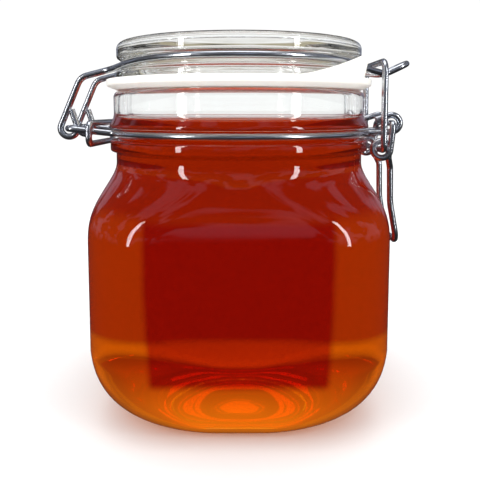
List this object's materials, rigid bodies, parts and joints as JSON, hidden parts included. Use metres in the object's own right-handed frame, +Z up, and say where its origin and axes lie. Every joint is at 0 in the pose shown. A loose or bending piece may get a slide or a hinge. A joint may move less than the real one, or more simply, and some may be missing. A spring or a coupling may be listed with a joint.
{
  "type": "clip-top honey jar",
  "caption": "Square clip-top preserving jar of clear glass, full of honey, with a glass lid, a rubber ring with a pull tab and a spring-wire clasp and hinge.",
  "frame": {"origin": "on the jar's axis at the centre of its flat base", "axes": "+Z up along the jar's axis, +X towards the clasp, -X towards the hinge"},
  "size_m": [0.1323, 0.1054, 0.1342],
  "materials": {
    "jar_glass": "clear soda-lime glass",
    "lid_glass": "clear pressed glass",
    "honey": "dark amber honey, clear",
    "gasket": "matt white rubber",
    "wire": "drawn steel wire, satin"
  },
  "bodies": {
    "jar": {"jar_glass": "jar_glass", "honey": "honey", "neck_wire": "wire", "hinge_tie": "wire"},
    "lid": {"lid_glass": "lid_glass", "gasket": "gasket", "lid_wire": "wire"},
    "lever": {"lever": "wire"},
    "clamp_link": {"clamp_link": "wire"}
  },
  "joints": [
    {"name": "lever_swing", "type": "hinge", "parent": "jar", "child": "lever", "pos_m": [0.0565, 0, 0.1045], "axis": [0, -1, 0], "range_deg": [0, 120]},
    {"name": "link_swing", "type": "hinge", "parent": "lever", "child": "clamp_link", "pos_m": [0.0525, 0, 0.0949], "axis": [0, -1, 0], "range_deg": [-96, 0]},
    {"name": "lid_swing", "type": "hinge", "parent": "jar", "child": "lid", "pos_m": [-0.0626, 0, 0.1027], "axis": [0, -1, 0], "range_deg": [0, 110]}
  ],
  "couplings": [
    {"joint": "link_swing", "follows": "lever_swing", "ratio": -0.8}
  ]
}
